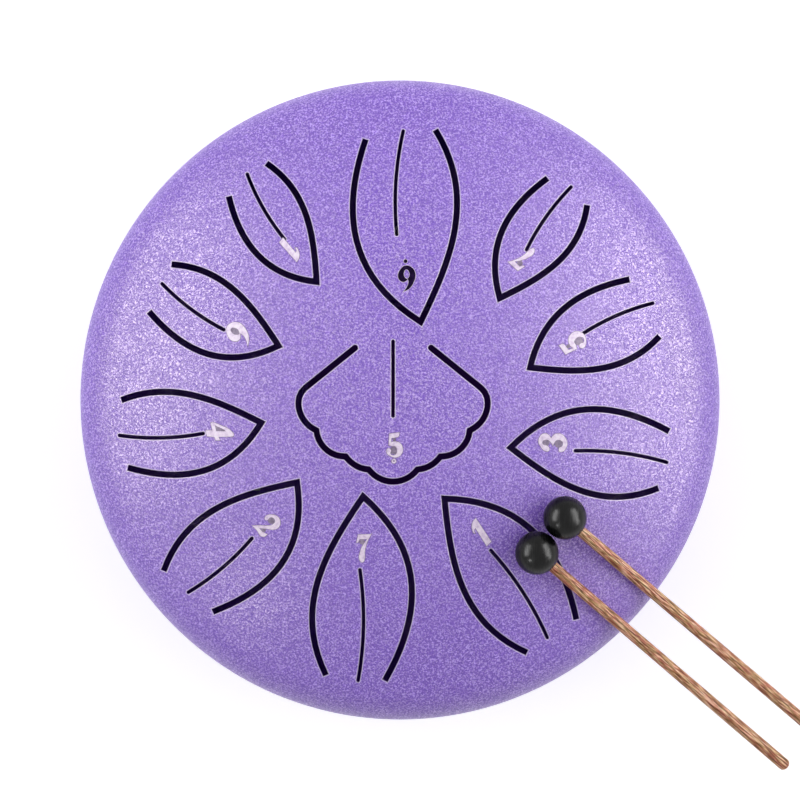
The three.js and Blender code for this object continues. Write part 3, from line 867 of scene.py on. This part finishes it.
def rubber_feet(rubber):
    recess = WASHER_RADIUS + RECESS_CLEARANCE
    sole = FOOT_TOP_RADIUS - FOOT_TAPER
    soft = 0.4
    profile = [
        (hole_radius, FOOT_HEIGHT),
        (hole_radius, recess_top),
        (recess, recess_top),
        (recess, soft),
        *arc(recess + soft, soft, soft, 3 * RIGHT_ANGLE, HALF_TURN, steps=4),
        *arc(sole - FOOT_ROUNDING, FOOT_ROUNDING, FOOT_ROUNDING, HALF_TURN, RIGHT_ANGLE, steps=6),
        *arc(FOOT_TOP_RADIUS - soft, FOOT_HEIGHT - soft, soft, RIGHT_ANGLE, 0, steps=4),
        (hole_radius, FOOT_HEIGHT),
    ]
    foot = turned("rubber_feet", profile, rubber, sides=64)
    return set_of_three(foot, rubber, "foot_rubber", "foot")


def foot_washers(zinc):
    burr = 0.15
    profile = [
        (hole_radius, recess_top),
        (hole_radius, washer_bottom + burr),
        (hole_radius + burr, washer_bottom),
        *arc(WASHER_RADIUS - burr, washer_bottom + burr, burr, HALF_TURN, RIGHT_ANGLE, steps=3),
        (WASHER_RADIUS, recess_top),
        (hole_radius, recess_top),
    ]
    washer = turned("foot_washers", profile, zinc, sides=48)
    return set_of_three(washer, zinc, "zinc_steel", "foot_washer")


def foot_screws(zinc):
    pitch, thread = 0.7, 0.3
    head_bottom = washer_bottom - SCREW_HEAD_HEIGHT
    crown_x = SCREW_HEAD_RADIUS - SCREW_HEAD_HEIGHT
    shank = [(SCREW_RADIUS, washer_bottom)]
    z = washer_bottom + pitch
    while z + pitch < screw_tip - SCREW_CHAMFER:
        shank += [(SCREW_RADIUS, z), (SCREW_RADIUS - thread, z + pitch / 2)]
        z += pitch
    profile = [
        (0, head_bottom),
        *arc(crown_x, washer_bottom, SCREW_HEAD_HEIGHT, HALF_TURN, RIGHT_ANGLE, steps=8),
        *shank,
        (SCREW_RADIUS, screw_tip - SCREW_CHAMFER),
        (SCREW_RADIUS - SCREW_CHAMFER, screw_tip),
        (0, screw_tip),
    ]
    screw = turned("foot_screws", profile, zinc, sides=40)
    screw = shaped(
        screw, cross_recess(), zinc,
        Length=CROSS_LENGTH * MM, Width=CROSS_WIDTH * MM, Depth=CROSS_DEPTH * MM, Level=head_bottom * MM,
    )
    return set_of_three(screw, zinc, "zinc_steel", "foot_screw", sharp_degrees=35)


def foot_nuts(zinc):
    low, high = FOOT_HEIGHT + SHEET, FOOT_HEIGHT + SHEET + NUT_HEIGHT
    corner = NUT_ACROSS_FLATS / math.sqrt(3)
    flat = NUT_ACROSS_FLATS / 2
    # The chamfers run on past the corners, where the hexagon cuts them off
    over = corner + (corner - flat) / math.sqrt(3)
    chamfer = (over - flat) / math.sqrt(3)
    profile = [
        (hole_radius, high),
        (hole_radius, low),
        (flat, low),
        (over, low + chamfer),
        (over, high - chamfer),
        (flat, high),
        (hole_radius, high),
    ]
    nut = turned("foot_nuts", profile, zinc, sides=48)
    nut = shaped(
        nut, hexagon_cut(), zinc,
        Corner_Radius=corner * MM, Height=2 * NUT_HEIGHT * MM, Level=(low + high) / 2 * MM,
    )
    return set_of_three(nut, zinc, "zinc_steel", "foot_nut", sharp_degrees=25)


# Numbers: foil stickers laid on the flat blank and pressed with it

# Outlines of the figures in hundredths of their height, about their middle. A third value marks a corner
CORNER = True
FIGURES = {
    1: [[
        (-18, 18, CORNER), (-8, 37), (12, 51), (30, 53, CORNER), (6, -56, CORNER), (-19, -56, CORNER),
        (2, 28, CORNER), (-8, 24), (-14, 12, CORNER),
    ]],
    2: [[
        (-19, 12), (-15, 28), (0, 40), (18, 46), (37, 38), (47, 15), (38, -4), (12, -21),
        (-13, -37, CORNER), (4, -40), (28, -37, CORNER), (23, -52), (11, -58), (-12, -50),
        (-39, -46, CORNER), (-23, -31), (8, -8), (22, 10), (21, 26), (9, 31), (-3, 24), (-5, 11),
        (-12, 6),
    ]],
    3: [[
        (-29, 15), (-27, 31), (-8, 46), (8, 52), (28, 46), (40, 27), (33, 10), (18, 1, CORNER),
        (31, -13), (32, -35), (17, -54), (-6, -61), (-27, -54), (-39, -38), (-34, -26), (-23, -27),
        (-19, -38), (-8, -45), (4, -39), (9, -23), (0, -10), (-12, -4, CORNER), (2, 3), (13, 14),
        (15, 26), (8, 37), (-4, 33), (-8, 21), (-17, 13),
    ]],
    4: [
        [
            (29, 62), (31, 52, CORNER), (20, 1, CORNER), (35, 4, CORNER), (31, -13, CORNER),
            (17, -15, CORNER), (8, -44, CORNER), (-16, -44, CORNER), (-10, -17, CORNER), (-40, -17, CORNER),
            (-41, -9, CORNER), (-22, 20), (10, 57),
        ],
        [(-27, -3, CORNER), (-2, 30), (6, 36, CORNER), (-4, -3, CORNER)],
    ],
    5: [[
        (-22, 52, CORNER), (22, 57, CORNER), (18, 40), (4, 35), (-13, 33, CORNER), (-16, 13, CORNER),
        (2, 18), (25, 10), (37, -13), (31, -38), (8, -53), (-15, -48), (-33, -33), (-33, -18),
        (-23, -13), (-15, -22), (-17, -37), (-4, -44), (8, -37), (12, -19), (4, -4), (-11, -3),
        (-25, 1, CORNER),
    ]],
    6: [
        [
            (39, 54, CORNER), (12, 50), (-15, 31), (-33, 4), (-35, -17), (-25, -38), (-4, -49), (19, -40),
            (37, -19), (38, 0), (29, 13), (15, 15), (3, 8, CORNER), (5, 22), (17, 38),
        ],
        [(-12, -18), (-5, 2), (6, 7), (13, -6), (6, -27), (-5, -31)],
    ],
    7: [[
        (-25, 18, CORNER), (-18, 49, CORNER), (33, 51, CORNER), (17, 20), (7, -19), (6, -48), (-3, -61),
        (-14, -48), (-11, -19), (2, 10), (17, 32, CORNER), (-12, 32, CORNER), (-19, 18, CORNER),
    ]],
}


def ring_of_points(x, y, radius, count=8):
    turns = np.linspace(0, FULL_TURN, count, endpoint=False)
    return [(x + radius * math.cos(a), y + radius * math.sin(a)) for a in turns]


# Each number: the figure, its place in plan, how far it is turned from upright, its size, and the
# outlines of the mark under it
NUMBERS = {
    "number_low_5": (5, -2.6 - 20.9j, 0, 0.87, [ring_of_points(-2, -69, 10), ring_of_points(-2, -69, 4)]),
    "number_low_6": (6, 3.6 + 56.8j, -160, 0.92, [ring_of_points(-14, -66, 8)]),
    "number_low_7": (7, -17.1 - 67.8j, 0, 1, []),
    "number_1": (1, 36.9 - 61.3j, 46, 1, []),
    "number_2": (2, -61.4 - 56.7j, -37, 1, []),
    "number_3": (3, 70 - 19.8j, 96, 1, []),
    "number_4": (4, -84.5 - 14.7j, -77, 1, []),
    "number_5": (5, 80.3 + 26.3j, 120, 1, []),
    "number_6": (6, -74.8 + 31.4j, -107, 1, []),
    "number_7": (7, 56.8 + 65.2j, 136, 1, []),
    "number_high_1": (1, -50.4 + 69.8j, -126, 0.95, []),
}

# Round patches of bare film in the curls of a figure: their middles and radii
PATCHES = {
    2: [(8, 17, 13), (6, -31, 9)],
    3: [(3, 22, 13), (-5, -26, 16)],
    5: [(-3, -22, 17), (0, 26, 8)],
    7: [(-3, 21, 11)],
}

# The one number printed dark, which has a pale edge in place of the grey one
DARK_NUMBER = "number_low_6"

CURVE_STEPS = 6
# Points of a plate that are closer than this, in metres, are one
SEAM_REACH = 1e-7


def outline_mesh(outlines, scale, thickness, grow):
    """A flat plate with these outlines, grown on all sides. It stands on Z = 0."""
    curve = bpy.data.curves.new("outlines", "CURVE")
    curve.dimensions = "2D"
    curve.fill_mode = "BOTH"
    curve.extrude = thickness / 2 * MM
    curve.offset = grow * MM
    curve.resolution_u = CURVE_STEPS
    for outline in outlines:
        spline = curve.splines.new("BEZIER")
        spline.bezier_points.add(len(outline) - 1)
        spline.use_cyclic_u = True
        for point, (x, y, *corner) in zip(spline.bezier_points, outline):
            point.co = (x * scale * MM, y * scale * MM, 0)
            kind = "VECTOR" if corner else "AUTO"
            point.handle_left_type = kind
            point.handle_right_type = kind
    drawn = linked("outlines", curve)
    mesh = bpy.data.meshes.new_from_object(drawn.evaluated_get(bpy.context.evaluated_depsgraph_get()))
    bpy.data.objects.remove(drawn)
    mesh.transform(Matrix.Translation((0, 0, thickness / 2 * MM)))
    return mesh


def sticker(name, layers, place, turn_degrees, finish):
    """A piece of one or more plates, laid on the flat blank at a place in plan and pressed with it."""
    stack = bmesh.new()
    for layer in layers:
        stack.from_mesh(outline_mesh(*layer))
    bmesh.ops.remove_doubles(stack, verts=stack.verts, dist=SEAM_REACH)
    flat = flattened(np.array([place]), 0)[0]
    spot = Matrix.Translation((flat.real * MM, flat.imag * MM, 0))
    stack.transform(spot @ Matrix.Rotation(math.radians(turn_degrees), 4, "Z"))
    mesh = bpy.data.meshes.new(name)
    stack.to_mesh(mesh)
    stack.free()
    laid = pressed(linked(name, mesh), finish)
    return dressed(shaded(laid), "drum", "number_foil")


def number_stickers(foil, dark_foil, film):
    """Each number is a film with a foil figure on it. The film fills the holes of the figure."""
    for name, (figure, place, turn, size, marks) in NUMBERS.items():
        outlines = FIGURES[figure] + marks
        filled = FIGURES[figure][:1] + marks[:1]
        scale = NUMERAL_HEIGHT / 100 * size
        dark = name == DARK_NUMBER
        edge = [(outlines if dark else filled, scale, FILM_THICKNESS, FILM_EDGE)]
        if figure in PATCHES:
            curls = [ring_of_points(*patch) for patch in PATCHES[figure]]
            edge.append((curls, scale, PATCH_THICKNESS, 0))
        sticker(name + "_edge", edge, place, turn, foil if dark else film)
        sticker(name, [(outlines, scale, STICKER_THICKNESS, 0)], place, turn, dark_foil if dark else foil)


# Mallets

STICK_RINGS = 60


def stick_axis(node_name):
    """Centre of the head and direction of the handle, from the CAD handle's own points."""
    points = np.array([v.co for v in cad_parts[node_name].data.vertices]) / MM
    unique = np.unique(points.round(4), axis=0)
    middle = unique.mean(0)
    _, _, ways = np.linalg.svd(unique - middle)
    way = ways[0] if ways[0][2] < 0 else -ways[0]
    tail = ((unique - middle) @ way).max()
    head = middle + way * (tail - MALLET_LENGTH + HEAD_RADIUS)
    return Vector(head * MM), Vector(way)


def laid_on_axis(piece, head, way):
    turn = Vector((0, 0, 1)).rotation_difference(way).to_matrix().to_4x4()
    piece.data.transform(Matrix.Translation(head) @ turn)
    return piece


def mallet(number, rubber, wood):
    head, way = stick_axis(f"mallet_handle_{number}")
    socket = HANDLE_HEAD_RADIUS + GLUE_GAP / 2
    socket_end = HEAD_RADIUS - SOCKET_DEPTH
    mouth = math.asin((socket + MOUTH_ROUNDING) / ball_radius)
    ball = [
        *arc(0, 0, ball_radius, HALF_TURN, mouth, steps=40),
        (socket, ball_radius * math.cos(mouth) - MOUTH_ROUNDING),
        (socket, socket_end),
        (0, socket_end),
    ]
    name = f"mallet_ball_{number}"
    piece = shaded(laid_on_axis(turned(name, ball, rubber, sides=64), head, way))
    dressed(piece, f"mallet_{number}", "mallet_rubber", f"mallet_head_{number}")

    seated_end = socket_end + GLUE_GAP
    tail = MALLET_LENGTH - HEAD_RADIUS
    lengths = np.linspace(HEAD_RADIUS, tail - TAIL_ROUNDING, STICK_RINGS)
    radii = np.interp(lengths, [HEAD_RADIUS, tail], [HANDLE_HEAD_RADIUS, tail_radius])
    stick = [
        (0, seated_end),
        (HANDLE_HEAD_RADIUS, seated_end),
        *zip(radii, lengths),
        *arc(radii[-1] - TAIL_ROUNDING, tail - TAIL_ROUNDING, TAIL_ROUNDING, RIGHT_ANGLE, 0, steps=6)[1:],
        (0, tail),
    ]
    name = f"mallet_stick_{number}"
    piece = shaded(laid_on_axis(turned(name, stick, wood, sides=32), head, way))
    dressed(piece, f"mallet_{number}", "handle_wood", f"mallet_handle_{number}")


# Build

coat = powder_coat()
zinc = zinc_steel()
rubber = foot_rubber()
foil = number_foil("number_foil", 0.4, (212, 192, 224), (238, 220, 245), (250, 240, 254))
dark_foil = number_foil("dark_number_foil", 0.03, (16, 6, 30), (24, 10, 44), (40, 24, 62))
film = number_foil("number_film", 0.3, (112, 96, 124), (138, 122, 150), (168, 152, 178))

upper_shell(coat)
lower_shell(coat)
rubber_feet(rubber)
foot_washers(zinc)
foot_screws(zinc)
foot_nuts(zinc)
number_stickers(foil, dark_foil, film)
ball_rubber = mallet_rubber()
mallet(1, ball_rubber, handle_wood("handle_wood_1", seed=0.3))
mallet(2, ball_rubber, handle_wood("handle_wood_2", seed=1.7))


# Stage: white floor, soft light from the world, lamps for the sheen, camera straight above

def seen_ray(tree):
    """1 for a ray of the camera, also by way of a reflection or glass, and 0 for a ray of soft light."""
    path = node(tree, "ShaderNodeLightPath").outputs
    seen = maths(tree, "MAXIMUM", path["Is Camera Ray"], path["Is Glossy Ray"])
    return maths(tree, "MAXIMUM", seen, path["Is Transmission Ray"])


def stage_floor():
    """A pale floor, seen as white, with painted shade under the drum, dark violet, that the sound hole
    shows.
    """
    size = 6.0
    corners = [(-size, -size, 0), (size, -size, 0), (size, size, 0), (-size, size, 0)]
    floor = mesh_object("floor", np.array(corners) / MM, [(0, 1, 2, 3)])
    made, tree, shader = material("floor_white", Roughness=0.9, Specular_IOR_Level=0.0)
    seen = seen_ray(tree)
    reach = node(tree, "ShaderNodeVectorMath", {0: object_place(tree)}, operation="LENGTH").outputs["Value"]
    drum_edge = DRUM_RADIUS * MM
    # Painted shade under the drum: dark violet in the middle, fading to the pale floor towards the drum's
    # edge
    painted_shade_violet = (0.12, 0.03, 0.3, 1)
    pale = (0.85, 0.85, 0.85, 1)
    beyond_painted_shade = spread(tree, reach, drum_edge / 3, drum_edge, 0, 1)
    feed(tree, shader, "Base Color", mixed(tree, beyond_painted_shade, painted_shade_violet, pale))
    shader.inputs["Emission Color"].default_value = (1, 1, 1, 1)
    glow = spread(tree, reach, drum_edge * 2 / 3, drum_edge + 2 * MM, 0, 0.5)
    feed(tree, shader, "Emission Strength", maths(tree, "MULTIPLY", seen, glow))
    floor.data.materials.append(made)


def stage_world(fill, side_fill):
    """White where it is seen, also in reflections.

    Its soft light comes from above, from behind and from both sides.
    """
    world = bpy.data.worlds.new("studio")
    world.use_nodes = True
    bpy.context.scene.world = world
    tree = world.node_tree
    tree.nodes.clear()
    way = node(tree, "ShaderNodeTexCoord").outputs["Generated"]
    above_behind = Vector((0, 1, 0.5)).normalized()
    facing = node(tree, "ShaderNodeVectorMath", {0: way, 1: above_behind}, operation="DOT_PRODUCT")
    dark_front = -0.4
    full_back = 0.14
    side_focus = 4
    behind = spread(tree, facing.outputs["Value"], dark_front, full_back, 0, 1)
    aside = node(tree, "ShaderNodeSeparateXYZ", {0: way}).outputs["X"]
    beside = maths(tree, "MULTIPLY", maths(tree, "POWER", aside, side_focus), side_fill)
    soft = maths(tree, "MULTIPLY", behind, maths(tree, "ADD", fill, beside))
    seen = seen_ray(tree)
    unseen = maths(tree, "SUBTRACT", 1, seen)
    strength = maths(tree, "ADD", seen, maths(tree, "MULTIPLY", unseen, soft))
    shine = node(tree, "ShaderNodeBackground", {"Color": (1, 1, 1, 1), "Strength": strength})
    node(tree, "ShaderNodeOutputWorld", {"Surface": shine.outputs[0]})


def softbox(name, place, size, radiance):
    """A soft lamp that shows in reflections only, as the world gives the soft light."""
    aim = Vector((0, 0, 0.12))
    lamp = bpy.data.lights.new(name, "AREA")
    lamp.shape = "RECTANGLE"
    lamp.size, lamp.size_y = size
    lamp.energy = radiance * math.pi * lamp.size * lamp.size_y
    made = linked(name, lamp)
    made.location = place
    made.rotation_euler = (aim - Vector(place)).to_track_quat("-Z", "Y").to_euler()
    made.visible_camera = False
    made.visible_diffuse = False


def stage_camera():
    distance = 3.0
    focal_pixels = 6179.35
    image_pixels = 800
    camera = bpy.data.cameras.new("camera")
    camera.sensor_width = 36
    camera.lens = camera.sensor_width * focal_pixels / image_pixels
    made = linked("camera", camera)
    made.location = (0, 0, distance)
    bpy.context.scene.camera = made


stage_floor()
stage_world(fill=0.73, side_fill=2.8)
softbox("left_softbox", (-0.98, 0.24, 0.84), (1.25, 0.55), radiance=9.3)
softbox("right_softbox", (1.03, 0.26, 0.78), (1.3, 0.6), radiance=9.6)
softbox("low_right_softbox", (1.02, -0.37, 0.42), (0.34, 0.3), radiance=7.5)
softbox("low_left_softbox", (-0.5, -0.65, 0.72), (0.15, 0.15), radiance=23)
stage_camera()
bpy.context.scene.view_settings.view_transform = "Standard"
